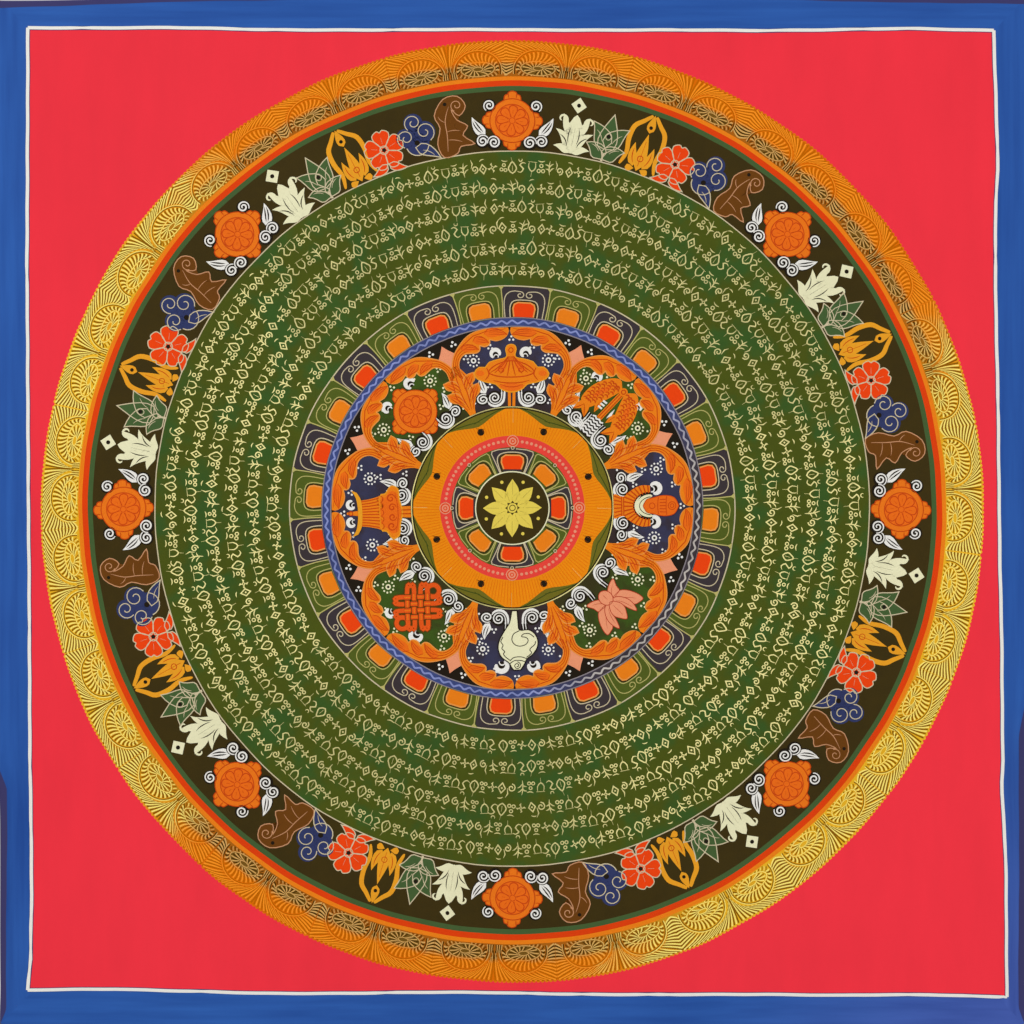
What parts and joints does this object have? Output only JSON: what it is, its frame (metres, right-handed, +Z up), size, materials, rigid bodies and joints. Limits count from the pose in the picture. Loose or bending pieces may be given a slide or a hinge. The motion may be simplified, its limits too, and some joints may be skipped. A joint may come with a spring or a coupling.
{
  "type": "thangka scroll painting, unmounted painted canvas",
  "caption": "Square painted cotton canvas with a round mandala of gold, green, orange and blue rings on a red ground, hung by its top edge.",
  "frame": {"origin": "middle of the canvas's top edge, halfway through its thickness", "axes": "+Z up, the canvas hangs down from the origin in the XZ plane with its painted face towards -Y"},
  "size_m": [0.6196, 0.0156, 0.6198],
  "materials": {
    "painted_cotton": "primed cotton with matt mineral paint and burnished gold lines"
  },
  "bodies": {
    "root": {"painted_canvas": "painted_cotton"}
  },
  "joints": []
}
